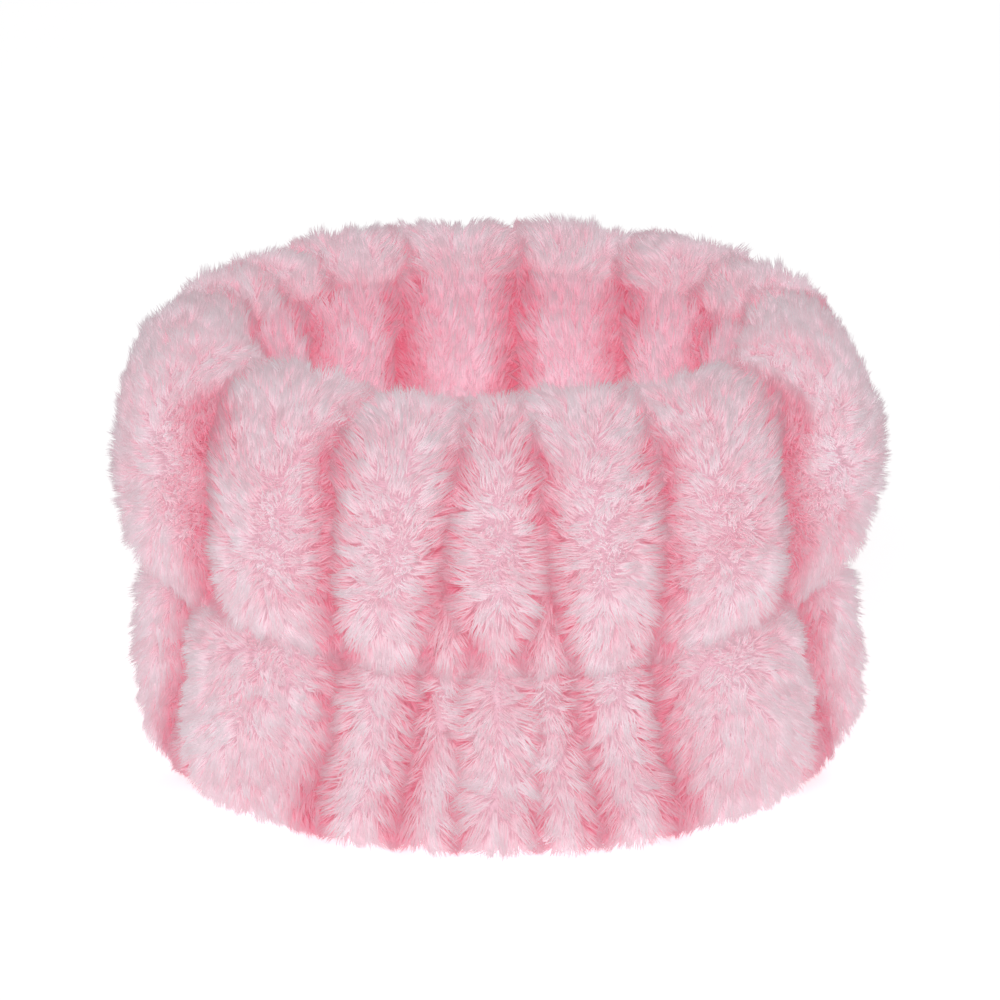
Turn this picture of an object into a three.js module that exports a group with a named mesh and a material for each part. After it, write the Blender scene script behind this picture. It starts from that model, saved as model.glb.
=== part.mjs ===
// A gathered plush wash band: a soft, wide ring that is pulled over the hand and worn round the wrist while
// the face is washed, so that no water runs down the arm. Two strips of long-pile fleece, one outside and
// one against the skin, are seamed to each other along the rim and the foot, and each strip's ends are
// closed into a ring. Three woven elastic tapes lie in the hollow wall: one along each edge seam, and a wider
// one that a gathering row stitches to both strips at the waist. The drawn-up fleece stands in puffs between
// its creases.
//
// Millimetres, +Z up. The band stands on its foot on the plane z = 0, with the middle of its ring at the
// origin. +X is the long way across the ring and -Y is its front. Azimuths are degrees from the front (-Y),
// positive towards +X. A point of the wall is given by its bulge, out from the middle of the wall (negative
// towards the wrist), and its height.

import * as THREE from 'three';
import { LoftGeometry } from 'three/addons/geometries/LoftGeometry.js';

// ---- Driving dimensions ----

const RING_RADIUS = 42; // from the middle of the ring to the middle of the wall, along X
const DEPTH_PER_WIDTH = 0.965; // a relaxed ring is a little shallower, front to back, than it is wide
const HEIGHT = 66; // from the foot to the top of the rim, over the pile
const WAIST_HEIGHT = 29; // from the foot to the gathering row

const BELLY_BULGE = 14.8;
const BELLY_RISE = 16; // the fullest height of the upper puffs, above the gathering row
const LOWER_BELLY_BULGE = 10.8;
const LOWER_BELLY_DROP = 13.3; // the fullest height of the lower puffs, below the gathering row
const GROOVE_HALF_WIDTH = 1.3; // of the groove's floor, which the gathering row draws in on both faces
const FOOT_HALF_WIDTH = 3; // of the flat that the outer panel stands on
const SKIN_BULGE = 14.5;
const SKIN_WAIST_BULGE = 10.5; // the floor of the groove on the skin side
const SEAM_INSET = 8; // both edge seams, in from the middle of the wall
const RIM_SEAM_DROP = 5.5; // the rim seam, below the top of the rim
const FOOT_SEAM_RISE = 4.5; // the foot seam, above the foot

const OUTER_FLEECE = 5; // cloth and standing pile of the outer panel
const SKIN_FLEECE = 4.6; // cloth and standing pile of the skin-side panel
const WAIST_FLEECE = 4; // either fleece at the gathering row
const EDGE_FLEECE = 2.6; // either fleece at an edge seam, where the overlock presses it flat
const BELLY_CREASE = 8; // how deep a crease lies beside a full upper puff
const LOWER_BELLY_CREASE = 6.5;
const SKIN_CREASE = 3.6;
const PUFF_ANGLE = 13; // puffs narrower than this many degrees stand clearly lower
const PUFF_ROUNDNESS = 0.6; // 0.5 rounds a puff like an ellipse, and 1 like a parabola

const TAPE_THICKNESS = 0.9;
const WAIST_TAPE_WIDTH = 10;
const EDGE_TAPE_WIDTH = 6.5;
const EDGE_TAPE_SETBACK = 10; // from the rim or the foot to the nearer edge of an edge tape
const TAPE_LAP = 10; // how far a tape's ends lie over each other, along the ring
const WAIST_SLACK = 2.65; // over the waist tape's lap, for its bartack and the outer panel's creases
const OVERLOCK_SLACK = 0.65; // between an edge tape and the overlock beside it

const THREAD_RADIUS = 0.35;
const OVERLOCK_SWING = 0.65; // an edge seam's zigzag, either side of its middle
const CLOSING_SWING = 1.2; // a closing seam's stitches, either side of its slit
const CLOSING_STITCHES = 24;
const BARTACK_SWING = 2.6; // a bartack's stitches, either side of the middle of a lap
const BARTACK_ROWS = 8;
const BARTACK_COVER = 0.7; // share of a tape's width that its bartack crosses
const SEAM_SLIT = 0.8; // degrees between the two ends of a panel, where its closing seam joins them
const CLEARANCE = 0.5; // between neighbouring pieces

// ---- Sizes that follow from those ----

const RIM_SEAM_HEIGHT = HEIGHT - RIM_SEAM_DROP;
const BELLY_HEIGHT = WAIST_HEIGHT + BELLY_RISE;
const LOWER_BELLY_HEIGHT = WAIST_HEIGHT - LOWER_BELLY_DROP;
const THREAD_LIFT = THREAD_RADIUS + CLEARANCE; // from a face to the middle of the thread that lies on it
const CLOSING_LIFT = THREAD_LIFT + THREAD_RADIUS; // a closing seam's face slants away from it
const SEAM_BACK = -SEAM_INSET + EDGE_FLEECE; // the bulge of an edge seam's joint, on the hollow's side
const OVERLOCK_BULGE = SEAM_BACK + THREAD_LIFT + CLEARANCE;
const EDGE_TAPE_BULGE = OVERLOCK_BULGE + OVERLOCK_SWING + THREAD_RADIUS + OVERLOCK_SLACK;
const WAIST_TAPE_BULGE = -SKIN_WAIST_BULGE + WAIST_FLEECE + CLOSING_LIFT + THREAD_RADIUS + CLEARANCE;
const LAP_LIFT = TAPE_THICKNESS + CLEARANCE; // of a tape's second end over its first
const WAIST_BULGE = WAIST_TAPE_BULGE + LAP_LIFT + TAPE_THICKNESS + WAIST_SLACK + WAIST_FLEECE;

// ---- Creases ----

// Each crease is its azimuth at the bottom, the middle and the top of its tier. The front is mirrored about
// azimuth 0. The back isn't, because the closing seam holds a crease of its own there.
const SEAM_AZIMUTH = 175.5;
const straight = (azimuth) => [azimuth, azimuth, azimuth];
const mirrored = (creases) => [...creases, ...creases.map((crease) => crease.map((azimuth) => -azimuth))];
const UPPER_CREASES = [
  ...mirrored([[4.2, 7.8, 2.6], [27.5, 27, 24.5], [51, 49.5, 47], [106, 104, 102]]),
  ...[126, 149, SEAM_AZIMUTH, -159, -137, -121].map(straight),
];
const LOWER_CREASES = [
  ...mirrored([[6, 6.2, 6], [16, 15, 13.5], [30, 28.6, 27.5], [57, 60, 61], [101, 103, 104]]),
  ...[123, 147, SEAM_AZIMUTH, -161, -141, -122].map(straight),
];
const SKIN_PUFFS = 12;
const SKIN_CREASES = Array.from({ length: SKIN_PUFFS }, (_, i) =>
  straight(SEAM_AZIMUTH - (i * 360) / SKIN_PUFFS));

// ---- Resolution ----

const OUTER_STATIONS = 84;
const SKIN_STATIONS = 60;
const TAPE_STATIONS = 40;
const THREAD_SIDES = 4;
const ARC_STEPS = 3;

const { clamp, degToRad, euclideanModulo, lerp, radToDeg, smoothstep } = THREE.MathUtils;

// ---- The gathered fleece ----

// The azimuth of a crease at a share of its tier's height: a parabola through its three azimuths.
function creaseAzimuth([bottom, middle, top], share) {
  const rest = 1 - share;
  return bottom * rest * (rest - share) + middle * 4 * share * rest + top * share * (share - rest);
}

// How full the fleece stands: 0 in a crease, and up to 1 on top of a wide puff.
function fullness(azimuth, creases, share) {
  const lines = creases.map((crease) => creaseAzimuth(crease, share)).sort((a, b) => a - b);
  const turned = lines[0] + euclideanModulo(azimuth - lines[0], 360);
  const next = [...lines, lines[0] + 360].find((line) => line > turned);
  const last = lines.findLast((line) => line <= turned);
  const across = (turned - last) / (next - last);
  return (1 - Math.exp((last - next) / PUFF_ANGLE)) * (4 * across * (1 - across)) ** PUFF_ROUNDNESS;
}

// How far one tier's creases draw a point of the outer panel in, less and less towards its seams.
function tierDraw(azimuth, bulge, share, creases, fullBulge, depth) {
  const reach = clamp((bulge + SEAM_INSET) / (fullBulge + SEAM_INSET), 0, 1) ** 1.5;
  return depth * reach * (1 - fullness(azimuth, creases, clamp(share, 0, 1)));
}

// The upper and the lower puffs meet at the gathering row, and the foot stands flat.
function outerDraw(azimuth, bulge, height) {
  const upperShare = (height - WAIST_HEIGHT) / (HEIGHT - WAIST_HEIGHT);
  const lowerShare = height / WAIST_HEIGHT;
  const upper = tierDraw(azimuth, bulge, upperShare, UPPER_CREASES, BELLY_BULGE, BELLY_CREASE);
  const lower = tierDraw(azimuth, bulge, lowerShare, LOWER_CREASES, LOWER_BELLY_BULGE, LOWER_BELLY_CREASE);
  const above = smoothstep(height, WAIST_HEIGHT - THREAD_RADIUS, WAIST_HEIGHT + THREAD_RADIUS);
  return lerp(lower, upper, above) * smoothstep(height, 0, WAIST_HEIGHT - LOWER_BELLY_DROP);
}

function skinDraw(azimuth, bulge) {
  const reach = clamp((-bulge - SEAM_INSET) / (SKIN_BULGE - SEAM_INSET), 0, 1);
  return SKIN_CREASE * reach * (1 - fullness(azimuth, SKIN_CREASES, 0));
}

function pointAt(azimuth, bulge, height) {
  const angle = degToRad(azimuth);
  const radius = RING_RADIUS + bulge;
  return new THREE.Vector3(radius * Math.sin(angle), -radius * Math.cos(angle) * DEPTH_PER_WIDTH, height);
}

// A point of a panel, drawn by the creases towards the core of the wall, then lifted straight out.
function gathered(azimuth, [bulge, height], draw, lift = 0) {
  const coreHeight = clamp(height, 2 * FOOT_SEAM_RISE, HEIGHT - 3 * RIM_SEAM_DROP);
  const drawn = new THREE.Vector2(bulge, height);
  const inwards = new THREE.Vector2(0, coreHeight).sub(drawn).normalize();
  drawn.addScaledVector(inwards, draw(azimuth, bulge, height));
  return pointAt(azimuth, drawn.x + lift, drawn.y);
}

// ---- Profiles of the two panels ----

// A quarter of an ellipse between a point where the wall is level and one where it is upright.
function quarterEllipse(from, to, fromLevel) {
  const [level, upright] = fromLevel ? [from, to] : [to, from];
  const points = Array.from({ length: ARC_STEPS + 1 }, (_, i) => {
    const angle = (i / ARC_STEPS) * (Math.PI / 2);
    return [lerp(level[0], upright[0], Math.sin(angle)), lerp(upright[1], level[1], Math.cos(angle))];
  });
  return fromLevel ? points : points.reverse();
}

// Quarter ellipses through points where the wall is level and upright by turns.
function roundedProfile(points, startsLevel) {
  const arcs = points.slice(1).map((point, i) =>
    quarterEllipse(points[i], point, startsLevel === (i % 2 === 0)));
  return [points[0], ...arcs.flatMap((arc) => arc.slice(1))];
}

const OUTER_PILE = [
  ...roundedProfile([
    [-SEAM_INSET, RIM_SEAM_HEIGHT],
    [0, HEIGHT],
    [BELLY_BULGE, BELLY_HEIGHT],
    [WAIST_BULGE, WAIST_HEIGHT + GROOVE_HALF_WIDTH],
  ], false),
  [WAIST_BULGE, WAIST_HEIGHT],
  ...roundedProfile([
    [WAIST_BULGE, WAIST_HEIGHT - GROOVE_HALF_WIDTH],
    [LOWER_BELLY_BULGE, LOWER_BELLY_HEIGHT],
    [FOOT_HALF_WIDTH, 0],
  ], true),
  [-FOOT_HALF_WIDTH, 0],
  [-SEAM_INSET, FOOT_SEAM_RISE],
];
const OUTER_BACK = [
  [SEAM_BACK, FOOT_SEAM_RISE + EDGE_FLEECE],
  ...roundedProfile([
    [0, OUTER_FLEECE],
    [LOWER_BELLY_BULGE - OUTER_FLEECE, LOWER_BELLY_HEIGHT],
    [WAIST_BULGE - WAIST_FLEECE, WAIST_HEIGHT],
    [BELLY_BULGE - OUTER_FLEECE, BELLY_HEIGHT],
    [0, HEIGHT - OUTER_FLEECE],
  ], true),
  [SEAM_BACK, RIM_SEAM_HEIGHT - EDGE_FLEECE],
];
const SKIN_PILE = [
  ...roundedProfile([
    [-SEAM_INSET, FOOT_SEAM_RISE + CLEARANCE],
    [-SKIN_BULGE, LOWER_BELLY_HEIGHT],
    [-SKIN_WAIST_BULGE, WAIST_HEIGHT - GROOVE_HALF_WIDTH],
  ], true),
  [-SKIN_WAIST_BULGE, WAIST_HEIGHT],
  ...roundedProfile([
    [-SKIN_WAIST_BULGE, WAIST_HEIGHT + GROOVE_HALF_WIDTH],
    [-SKIN_BULGE, BELLY_HEIGHT],
    [-SEAM_INSET, RIM_SEAM_HEIGHT - CLEARANCE],
  ], true),
];
const SKIN_BACK = roundedProfile([
  [SEAM_BACK, RIM_SEAM_HEIGHT - EDGE_FLEECE - CLEARANCE],
  [-SKIN_BULGE + SKIN_FLEECE, BELLY_HEIGHT],
  [-SKIN_WAIST_BULGE + WAIST_FLEECE, WAIST_HEIGHT],
  [-SKIN_BULGE + SKIN_FLEECE, LOWER_BELLY_HEIGHT],
  [SEAM_BACK, FOOT_SEAM_RISE + EDGE_FLEECE + CLEARANCE],
], true);

// ---- Builders ----

const outerFleece = new THREE.MeshStandardMaterial({ color: 0xeab4c2, roughness: 0.95, metalness: 0 });
const skinFleece = new THREE.MeshStandardMaterial({ color: 0xefa6b8, roughness: 0.95, metalness: 0 });
const wovenElastic = new THREE.MeshStandardMaterial({ color: 0xf4efec, roughness: 0.8, metalness: 0 });
const sewingThread = new THREE.MeshStandardMaterial({ color: 0xe58ba0, roughness: 0.6, metalness: 0 });

function lofted(name, sections, material) {
  const mesh = new THREE.Mesh(new LoftGeometry(sections, { capStart: true, capEnd: true }), material);
  mesh.name = name;
  return mesh;
}

// Evenly spaced azimuths, from one side of the closing seam round to the other.
function roundTheRing(stations) {
  return Array.from({ length: stations + 1 }, (_, i) =>
    SEAM_AZIMUTH + lerp(SEAM_SLIT / 2, 360 - SEAM_SLIT / 2, i / stations));
}

// A strip of fleece bent round into a ring.
function panel(name, profile, draw, stations, material) {
  const sections = roundTheRing(stations).map((azimuth) =>
    profile.map((point) => gathered(azimuth, point, draw)));
  return lofted(name, sections, material);
}

// A flat tape whose second end laps over its first.
function tape({ name, innerBulge, height, width, lapAzimuth }) {
  const lapAngle = radToDeg(TAPE_LAP / (RING_RADIUS + innerBulge));
  const lapShare = lapAngle / (360 + lapAngle);
  const sections = Array.from({ length: TAPE_STATIONS + 1 }, (_, i) => {
    const share = i / TAPE_STATIONS;
    const azimuth = lapAzimuth + lerp(-lapAngle / 2, 360 + lapAngle / 2, share);
    const inner = innerBulge + smoothstep(share, 1 - 4 * lapShare, 1 - lapShare) * LAP_LIFT;
    const corners = [[inner, 1], [inner + TAPE_THICKNESS, 1], [inner + TAPE_THICKNESS, -1], [inner, -1]];
    return corners.map(([bulge, side]) => pointAt(azimuth, bulge, height + (side * width) / 2));
  });
  return lofted(`${name}_elastic_tape`, sections, wovenElastic);
}

// A sewing thread along a list of points.
function sewn(name, points) {
  const side = new THREE.Vector3(points[0].x, points[0].y, 0).normalize();
  const across = new THREE.Vector3();
  const sections = points.map((point, i) => {
    const before = points[Math.max(i - 1, 0)];
    const after = points[Math.min(i + 1, points.length - 1)];
    const tangent = after.clone().sub(before).normalize();
    side.addScaledVector(tangent, -side.dot(tangent)).normalize();
    across.crossVectors(tangent, side);
    return Array.from({ length: THREAD_SIDES }, (_, k) => {
      const angle = ((k + 0.5) / THREAD_SIDES) * 2 * Math.PI;
      return point.clone()
        .addScaledVector(side, THREAD_RADIUS * Math.cos(angle))
        .addScaledVector(across, THREAD_RADIUS * Math.sin(angle));
    });
  });
  return lofted(name, sections, sewingThread);
}

const toAndFro = (i, swing) => (i % 2 ? swing : -swing);

// The gathering row's thread lies in the waist groove of a panel, on its pile side.
function gatheringThread(name, grooveBulge, draw, stations, lift) {
  return sewn(name, roundTheRing(stations).slice(1, -1).map((azimuth) =>
    gathered(azimuth, [grooveBulge, WAIST_HEIGHT], draw, lift)));
}

// An overlock thread that zigzags over the joint of both panels, in the hollow of the wall.
// intoHollow is 1 where the hollow lies above the joint, and -1 where it lies below.
function edgeSeam(name, jointHeight, intoHollow) {
  const middleHeight = jointHeight + intoHollow * (THREAD_LIFT + OVERLOCK_SWING);
  return sewn(name, roundTheRing(SKIN_STATIONS).slice(1, -1).map((azimuth, i) => {
    const swing = toAndFro(i, OVERLOCK_SWING);
    return pointAt(azimuth, OVERLOCK_BULGE + swing, middleHeight - intoHollow * swing);
  }));
}

// Stitches that zigzag across the slit between a panel's ends, along the back of its cloth. The slit lies in
// a crease, and the stitches lie clear of it on both sides.
function closingSeam(name, back, draw, lift) {
  const seamLine = new THREE.Path(back.map(([bulge, height]) => new THREE.Vector2(bulge, height)));
  const swing = radToDeg(CLOSING_SWING / RING_RADIUS);
  const creaseDraw = (_, bulge, height) => draw(SEAM_AZIMUTH, bulge, height);
  return sewn(name, Array.from({ length: CLOSING_STITCHES + 1 }, (_, i) => {
    const { x, y } = seamLine.getPointAt(lerp(0.2, 0.8, i / CLOSING_STITCHES));
    return gathered(SEAM_AZIMUTH + toAndFro(i, swing), [x, y], creaseDraw, lift);
  }));
}

// The zigzag that holds a tape's lapped ends, on the outside of the lap.
function bartack({ name, innerBulge, height, width, lapAzimuth }) {
  const bulge = innerBulge + LAP_LIFT + TAPE_THICKNESS + THREAD_LIFT;
  const swing = radToDeg(BARTACK_SWING / RING_RADIUS);
  return sewn(`${name}_elastic_bartack`, Array.from({ length: BARTACK_ROWS + 1 }, (_, i) => {
    const climb = (i / BARTACK_ROWS - 0.5) * BARTACK_COVER * width;
    return pointAt(lapAzimuth + toAndFro(i, swing), bulge, height + climb);
  }));
}

// ---- Assembly ----

const TAPES = [
  {
    name: 'rim',
    innerBulge: EDGE_TAPE_BULGE,
    height: HEIGHT - EDGE_TAPE_SETBACK - EDGE_TAPE_WIDTH / 2,
    width: EDGE_TAPE_WIDTH,
    lapAzimuth: 80,
  },
  {
    name: 'waist',
    innerBulge: WAIST_TAPE_BULGE,
    height: WAIST_HEIGHT,
    width: WAIST_TAPE_WIDTH,
    lapAzimuth: 137,
  },
  {
    name: 'foot',
    innerBulge: EDGE_TAPE_BULGE,
    height: EDGE_TAPE_SETBACK + EDGE_TAPE_WIDTH / 2,
    width: EDGE_TAPE_WIDTH,
    lapAzimuth: -80,
  },
];

const washBand = new THREE.Group();
washBand.add(
  panel('outer_fleece_panel', [...OUTER_PILE, ...OUTER_BACK], outerDraw, OUTER_STATIONS, outerFleece),
  panel('skin_side_fleece_panel', [...SKIN_PILE, ...SKIN_BACK], skinDraw, SKIN_STATIONS, skinFleece),
  ...TAPES.map(tape),
  ...TAPES.map(bartack),
  edgeSeam('rim_seam_thread', RIM_SEAM_HEIGHT - EDGE_FLEECE - CLEARANCE / 2, -1),
  edgeSeam('foot_seam_thread', FOOT_SEAM_RISE + EDGE_FLEECE + CLEARANCE / 2, 1),
  gatheringThread('gathering_needle_thread', WAIST_BULGE, outerDraw, OUTER_STATIONS, THREAD_LIFT),
  gatheringThread('gathering_bobbin_thread', -SKIN_WAIST_BULGE, skinDraw, SKIN_STATIONS, -THREAD_LIFT),
  closingSeam('outer_closing_seam_thread', OUTER_BACK, outerDraw, -CLOSING_LIFT),
  closingSeam('skin_closing_seam_thread', SKIN_BACK, skinDraw, CLOSING_LIFT),
);

export default washBand;
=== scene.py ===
"""A gathered plush wash band: two strips of coral fleece, drawn in by three hidden elastic tapes.

Lengths are in metres and azimuths in degrees, from the front (-Y) towards +X. The band's sizes
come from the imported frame, and shapes inside it are given in millimetres by named values.
"""

import logging
import math
from collections.abc import Mapping
from dataclasses import dataclass, field, replace
from enum import Enum

import bpy
import numpy as np
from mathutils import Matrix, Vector, noise


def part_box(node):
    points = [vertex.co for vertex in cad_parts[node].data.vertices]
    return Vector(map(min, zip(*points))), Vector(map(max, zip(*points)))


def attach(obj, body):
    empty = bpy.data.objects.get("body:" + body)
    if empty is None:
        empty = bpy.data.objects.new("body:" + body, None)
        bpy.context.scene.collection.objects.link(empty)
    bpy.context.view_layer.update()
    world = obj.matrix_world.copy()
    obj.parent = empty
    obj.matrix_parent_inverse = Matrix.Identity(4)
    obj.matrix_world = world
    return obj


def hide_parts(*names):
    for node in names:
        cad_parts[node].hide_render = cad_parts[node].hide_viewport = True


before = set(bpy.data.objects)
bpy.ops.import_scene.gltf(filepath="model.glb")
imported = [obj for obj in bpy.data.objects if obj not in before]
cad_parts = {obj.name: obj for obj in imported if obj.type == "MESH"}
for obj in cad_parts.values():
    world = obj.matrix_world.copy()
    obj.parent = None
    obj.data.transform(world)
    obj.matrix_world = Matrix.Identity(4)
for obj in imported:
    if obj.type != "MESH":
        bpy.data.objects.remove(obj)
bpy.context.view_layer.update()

LOG = logging.getLogger("wash_band")
BODY = "root"
MM = 0.001
BAKE_MAP = "OFBake"
STRAND_MAP = "strand"
TINTS = 24
UNSHADED = "unshaded"
NOISE_SEED = 5

Colour = tuple[float, float, float, float]
Place = tuple[float, float, float]
Pair = tuple[float, float]
Values = np.ndarray | float


# ---- Node trees ----


class Signal:
    """One output socket, so that sums on it are written as Python expressions."""

    def __init__(self, tree: "Tree", socket: bpy.types.NodeSocket) -> None:
        """Wraps a socket of a tree."""
        self.tree = tree
        self.socket = socket

    def combine(self, operation: str, *terms: "Term") -> "Signal":
        """Adds one Math node, or one Vector Math node where a term is a vector.

        Args:
            operation: The node's operation, such as "ADD".
            terms: The node's inputs, in order.

        Returns:
            The node's result.
        """
        vector = any(isinstance(term, Signal) and term.socket.type == "VECTOR" for term in terms)
        kind = "ShaderNodeVectorMath" if vector else "ShaderNodeMath"
        return self.tree.signal(kind, {"operation": operation}, dict(enumerate(terms)))

    def __add__(self, other: "Term") -> "Signal":
        """Gives self + other."""
        return self.combine("ADD", self, other)

    def __radd__(self, other: "Term") -> "Signal":
        """Gives other + self."""
        return self.combine("ADD", other, self)

    def __sub__(self, other: "Term") -> "Signal":
        """Gives self - other."""
        return self.combine("SUBTRACT", self, other)

    def __rsub__(self, other: "Term") -> "Signal":
        """Gives other - self."""
        return self.combine("SUBTRACT", other, self)

    def __mul__(self, other: "Term") -> "Signal":
        """Gives self * other."""
        return self.combine("MULTIPLY", self, other)

    def __rmul__(self, other: "Term") -> "Signal":
        """Gives other * self."""
        return self.combine("MULTIPLY", other, self)

    def __truediv__(self, other: "Term") -> "Signal":
        """Gives self / other."""
        return self.combine("DIVIDE", self, other)

    def at_least(self, other: "Term") -> "Signal":
        """Gives the larger of self and other."""
        return self.combine("MAXIMUM", self, other)

    def at_most(self, other: "Term") -> "Signal":
        """Gives the smaller of self and other."""
        return self.combine("MINIMUM", self, other)

    def floor(self) -> "Signal":
        """Gives self rounded down."""
        return self.combine("FLOOR", self)

    def sine(self) -> "Signal":
        """Gives the sine of self, in radians."""
        return self.combine("SINE", self)

    def unit(self) -> "Signal":
        """Gives the vector at length 1."""
        return self.combine("NORMALIZE", self)

    def cross(self, other: "Signal") -> "Signal":
        """Gives the cross product self x other."""
        return self.combine("CROSS_PRODUCT", self, other)

    def towards(self, other: "Signal", share: "Term") -> "Signal":
        """Gives the point that lies a share of the way from self to other."""
        return self + (other - self) * share

    def parts(self) -> tuple["Signal", "Signal", "Signal"]:
        """Gives the vector's x, y and z."""
        node = self.tree.node("ShaderNodeSeparateXYZ", {}, {0: self})
        return tuple(Signal(self.tree, output) for output in node.outputs)


Term = Signal | float | tuple


class Tree:
    """A shader or geometry node tree under construction."""

    def __init__(self, nodes: bpy.types.NodeTree) -> None:
        """Starts from a tree's empty list of nodes."""
        self.nodes = nodes
        self.nodes.nodes.clear()

    def node(self, kind: str, settings: Mapping, inputs: Mapping) -> bpy.types.Node:
        """Adds a node, sets it up and joins its inputs.

        Args:
            kind: The node's type name.
            settings: Its properties, set first; "stops" are a ramp's (place, colour) pairs.
            inputs: Values or signals by socket name, identifier or number.

        Returns:
            The new node.
        """
        node = self.nodes.nodes.new(kind)
        for name, value in settings.items():
            if name == "stops":
                self.set_stops(node.color_ramp, value)
            else:
                setattr(node, name, value)
        for key, value in inputs.items():
            self.feed(self.find(node.inputs, key), value)
        return node

    def signal(self, kind: str, settings: Mapping, inputs: Mapping, output: int | str = 0) -> Signal:
        """Adds a node as node() does and gives one of its outputs.

        Args:
            kind: The node's type name.
            settings: Its properties.
            inputs: Values or signals by socket.
            output: The output's name, identifier or number among those in use.

        Returns:
            The output.
        """
        return Signal(self, self.find(self.node(kind, settings, inputs).outputs, output))

    def mix(self, share: Term, first: Term, second: Term) -> Signal:
        """Gives a colour that lies a share of the way from the first to the second."""
        colours = {"Factor_Float": share, "A_Color": first, "B_Color": second}
        return self.signal("ShaderNodeMix", {"data_type": "RGBA"}, colours, "Result_Color")

    @staticmethod
    def set_stops(ramp: bpy.types.ColorRamp, stops: list[tuple[float, Colour]]) -> None:
        """Gives a colour ramp its stops, first to last.

        Args:
            ramp: The ramp.
            stops: Places from 0 to 1, with their colours.
        """
        while len(ramp.elements) < len(stops):
            ramp.elements.new(0.5)
        for element, (place, colour) in zip(ramp.elements, stops):
            element.position = place
            element.color = colour

    @staticmethod
    def find(sockets: bpy.types.bpy_prop_collection, key: int | str) -> bpy.types.NodeSocket:
        """Finds a socket in use by its number, identifier or name.

        Args:
            sockets: A node's inputs or outputs.
            key: The number among those in use, the identifier or the name.

        Returns:
            The socket.
        """
        in_use = [socket for socket in sockets if socket.enabled]
        if isinstance(key, int):
            return in_use[key]
        return next(socket for socket in in_use if key in (socket.identifier, socket.name))

    def feed(self, socket: bpy.types.NodeSocket, value: Term) -> None:
        """Joins a signal to an input, or sets its value.

        Args:
            socket: The input.
            value: A signal, a number, a vector, a colour or an object.
        """
        if isinstance(value, Signal):
            self.nodes.links.new(value.socket, socket)
        elif socket.type == "VECTOR" and isinstance(value, (int, float)):
            socket.default_value = (value,) * 3
        else:
            socket.default_value = value


# ---- Finishes ----


def new_material(name: str) -> tuple[bpy.types.Material, Tree]:
    """Makes a node material and gives it with its tree, ready to fill.

    Args:
        name: The material's name.

    Returns:
        The material and its empty tree.
    """
    material = bpy.data.materials.new(name)
    material.use_nodes = True
    return material, Tree(material.node_tree)


def finish_surface(tree: Tree, shader: Mapping) -> None:
    """Ends a material in one Principled BSDF with these inputs."""
    surface = tree.signal("ShaderNodeBsdfPrincipled", {}, shader)
    tree.node("ShaderNodeOutputMaterial", {}, {"Surface": surface})


@dataclass(frozen=True)
class DyeAndShade:
    """The colours of one strand at its root, its middle and its tip, darker at the root: painted shade
    deep in the pile.
    """

    root: Colour
    middle: Colour
    tip: Colour

    def along(self, tree: Tree, place: Signal) -> Signal:
        """Gives the colour at a place from 0 at the root to 1 at the tip."""
        stops = [(0.0, self.root), (0.5, self.middle), (0.95, self.tip)]
        return tree.signal("ShaderNodeValToRGB", {"stops": stops}, {0: place})


@dataclass(frozen=True)
class PileFinish:
    """Coral fleece pile: fine translucent fibres, with painted shade that deepens the pink near the
    creases and a painted glow.
    """

    name: str
    crease_shade: DyeAndShade
    puff_dye: DyeAndShade
    glow: float = 0.42
    sheen: float = 0.08

    def material(self) -> bpy.types.Material:
        """Builds the material, which reads the strands' own UV map.

        Returns:
            A material whose tint, with its painted crease shade, comes from the map's column, and
            whose painted shade deep in the pile, darker at the root, from its height.
        """
        material, tree = new_material(self.name)
        strand = tree.signal("ShaderNodeUVMap", {"uv_map": STRAND_MAP}, {})
        column, along, _ = strand.parts()
        tint = (column * TINTS).floor() / (TINTS - 1)
        dye_and_shade = tree.mix(tint, self.crease_shade.along(tree, along), self.puff_dye.along(tree, along))
        finish_surface(
            tree,
            {
                "Base Color": dye_and_shade,
                "Roughness": 0.9,
                "Specular IOR Level": 0.2,
                "Sheen Weight": self.sheen,
                "Sheen Roughness": 0.6,
                "Sheen Tint": self.puff_dye.tip,
                # Painted light: the pile glows, though it is no lamp, standing in for light that
                # passes through the fibres and bounces among them.
                "Emission Color": dye_and_shade,
                "Emission Strength": self.glow,
            },
        )
        return material


@dataclass(frozen=True)
class KnitFinish:
    """The knitted ground that the pile grows from, with painted shade that makes it deepest in colour
    in the creases.
    """

    name: str
    shaded_crease: Colour
    light: Colour
    stitch: float = 0.9 * MM
    course: float = 1.4
    mottle_scale: float = 220.0
    mottle_share: float = 0.15
    glow: float = 0.35

    def material(self) -> bpy.types.Material:
        """Builds the material, with knit loops as a fine bump over a mottled dye and painted crease
        shade.

        Returns:
            The material.
        """
        material, tree = new_material(self.name)
        place = tree.signal("ShaderNodeTexCoord", {}, {}, "Object")
        noise_inputs = {"Vector": place, "Scale": self.mottle_scale, "Detail": 3.0}
        mottle = tree.signal("ShaderNodeTexNoise", {}, noise_inputs) * self.mottle_share
        # Painted shade: the ground is deep pink in the creases, where the unshaded share is 0, and
        # light on the puffs.
        unshaded = tree.signal("ShaderNodeAttribute", {"attribute_name": UNSHADED}, {}, "Fac")
        dye_and_shade = tree.mix(unshaded * (1 - self.mottle_share) + mottle, self.shaded_crease, self.light)
        x, y, z = (place * (2 * math.pi / self.stitch)).parts()
        loops = (x + y).sine() * (z * self.course).sine()
        bump = {"Height": loops, "Strength": 0.5, "Distance": 0.15 * MM}
        finish_surface(
            tree,
            {
                "Base Color": dye_and_shade,
                "Roughness": 0.95,
                # Painted light: the ground glows, though it is no lamp, lightening it where it shows
                # in the shade between the strands.
                "Emission Color": dye_and_shade,
                "Emission Strength": self.glow,
                "Normal": tree.signal("ShaderNodeBump", {}, bump),
            },
        )
        return material


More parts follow.
